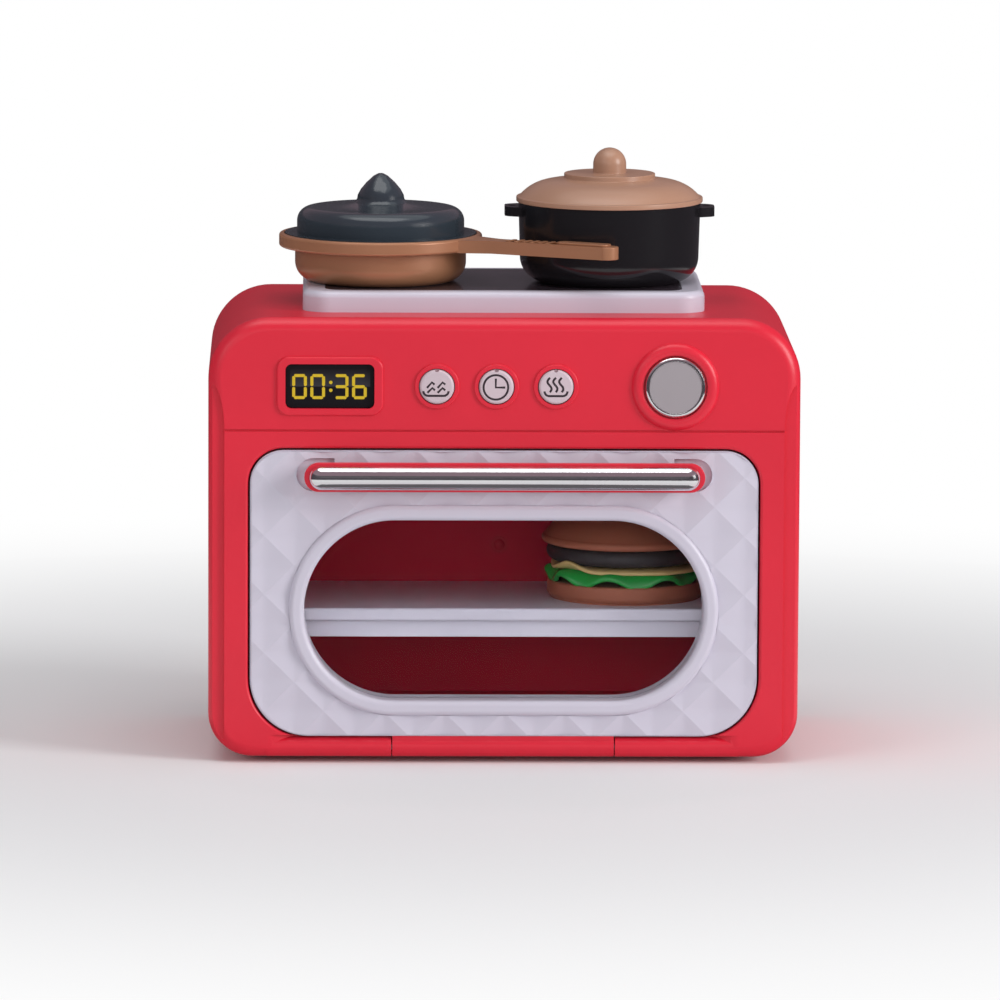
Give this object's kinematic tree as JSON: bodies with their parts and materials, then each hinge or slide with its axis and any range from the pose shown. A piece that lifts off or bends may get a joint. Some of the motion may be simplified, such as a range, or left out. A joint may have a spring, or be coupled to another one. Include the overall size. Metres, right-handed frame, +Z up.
{
  "type": "toy oven",
  "caption": "Toy oven with a quilted drop-down door, stadium window, bar handle, push buttons, knob, hob with lidded pans, and a play burger on its shelf.",
  "frame": {"origin": "centre of the overall box's bottom, on the surface that the feet stand on", "axes": "+X to the right seen from the front, +Y from the front to the back, +Z up"},
  "size_m": [0.212, 0.1244, 0.2171],
  "materials": {
    "red_housing": "satin red moulding",
    "red_liner": "satin dark red moulding",
    "white_plastic": "satin cool white moulding",
    "dark_glass": "gloss black",
    "lens_clear": "smoked clear plastic",
    "window_clear": "clear plastic sheet",
    "chrome_trim": "plated plastic",
    "knob_grey": "satin warm grey",
    "button_plastic": "satin light grey",
    "black_plastic": "matt black",
    "board_green": "satin green laminate",
    "steel": "plain steel",
    "lamp_amber": "frosted amber plastic",
    "cell_jacket": "gloss printed sleeve",
    "wire_red": "satin",
    "rubber_foot": "matt",
    "pan_bronze": "satin bronze",
    "lid_slate": "satin slate grey",
    "pot_black": "gloss black",
    "lid_tan": "satin copper tan",
    "bun": "satin baked brown",
    "lettuce_green": "satin leaf green",
    "cheese_yellow": "satin pale yellow",
    "patty_brown": "matt dark brown"
  },
  "bodies": {
    "housing": {"front_shell": "red_housing", "rear_shell": "red_housing", "oven_liner": "red_liner", "shelf": "white_plastic", "hob_plate": "white_plastic", "hob_top": "dark_glass", "feet": "rubber_foot", "display_lens": "lens_clear", "display_card": "dark_glass", "control_board": "board_green", "sound_chip": "black_plastic", "push_switches": "black_plastic", "board_screws": "steel", "ratchet_spring": "steel", "lamp_lens": "lamp_amber", "lamp_led": "lamp_amber", "lamp_board": "board_green", "speaker": "black_plastic", "speaker_screws": "steel", "battery_box": "black_plastic", "batteries": "cell_jacket", "battery_contacts": "steel", "battery_cover": "red_housing", "battery_cover_screw": "steel", "power_switch": "black_plastic", "wires": "wire_red", "hinge_rod": "steel", "shell_screws": "steel", "liner_screws": "steel", "hob_screws": "steel"},
    "door": {"door_panel": "white_plastic", "door_liner": "white_plastic", "window_pane": "window_clear", "door_hinge": "red_housing", "handle_bar": "red_housing", "handle_trim": "chrome_trim", "handle_screws": "steel", "door_screws": "steel", "hinge_screws": "steel"},
    "left_button": {"button_1": "button_plastic", "plunger_1": "black_plastic"},
    "middle_button": {"button_2": "button_plastic", "plunger_2": "black_plastic"},
    "right_button": {"button_3": "button_plastic", "plunger_3": "black_plastic"},
    "knob": {"knob_body": "chrome_trim", "knob_face": "knob_grey", "knob_ratchet": "white_plastic", "knob_screw": "steel"},
    "slider": {"power_slider": "black_plastic"},
    "frying_pan": {"frying_pan": "pan_bronze"},
    "pan_lid": {"pan_lid": "lid_slate"},
    "stock_pot": {"stock_pot": "pot_black"},
    "pot_lid": {"pot_lid": "lid_tan"},
    "bun_bottom": {"bun_bottom": "bun"},
    "lettuce": {"lettuce": "lettuce_green"},
    "cheese": {"cheese": "cheese_yellow"},
    "patty": {"patty": "patty_brown"},
    "bun_top": {"bun_top": "bun"}
  },
  "joints": [
    {"name": "door_swing", "type": "hinge", "parent": "housing", "child": "door", "pos_m": [0, -0.04585, 0.0058], "axis": [1, 0, 0], "range_deg": [0, 80]},
    {"name": "left_button_press", "type": "slide", "parent": "housing", "child": "left_button", "axis": [0, 1, 0], "range_m": [0, 0.0012], "stiffness_N_per_m": 400, "springref_m": -0.001},
    {"name": "middle_button_press", "type": "slide", "parent": "housing", "child": "middle_button", "axis": [0, 1, 0], "range_m": [0, 0.0012], "stiffness_N_per_m": 400, "springref_m": -0.001},
    {"name": "right_button_press", "type": "slide", "parent": "housing", "child": "right_button", "axis": [0, 1, 0], "range_m": [0, 0.0012], "stiffness_N_per_m": 400, "springref_m": -0.001},
    {"name": "knob_turn", "type": "hinge", "parent": "housing", "child": "knob", "pos_m": [0.061, -0.05235, 0.1366], "axis": [0, -1, 0], "continuous": true},
    {"name": "power_slide", "type": "slide", "parent": "housing", "child": "slider", "axis": [1, 0, 0], "range_m": [0, 0.0036]},
    {"name": "pan_lift", "type": "slide", "parent": "housing", "child": "frying_pan", "axis": [0, 0, 1], "range_m": [0, 0.03]},
    {"name": "pan_lid_lift", "type": "slide", "parent": "frying_pan", "child": "pan_lid", "axis": [0, 0, 1], "range_m": [0, 0.02]},
    {"name": "pot_lift", "type": "slide", "parent": "housing", "child": "stock_pot", "axis": [0, 0, 1], "range_m": [0, 0.03]},
    {"name": "pot_lid_lift", "type": "slide", "parent": "stock_pot", "child": "pot_lid", "axis": [0, 0, 1], "range_m": [0, 0.02]},
    {"name": "bun_bottom_lift", "type": "slide", "parent": "housing", "child": "bun_bottom", "axis": [0, 0, 1], "range_m": [0, 0.003]},
    {"name": "lettuce_lift", "type": "slide", "parent": "bun_bottom", "child": "lettuce", "axis": [0, 0, 1], "range_m": [0, 0.003]},
    {"name": "cheese_lift", "type": "slide", "parent": "lettuce", "child": "cheese", "axis": [0, 0, 1], "range_m": [0, 0.003]},
    {"name": "patty_lift", "type": "slide", "parent": "cheese", "child": "patty", "axis": [0, 0, 1], "range_m": [0, 0.003]},
    {"name": "bun_top_lift", "type": "slide", "parent": "patty", "child": "bun_top", "axis": [0, 0, 1], "range_m": [0, 0.003]}
  ]
}
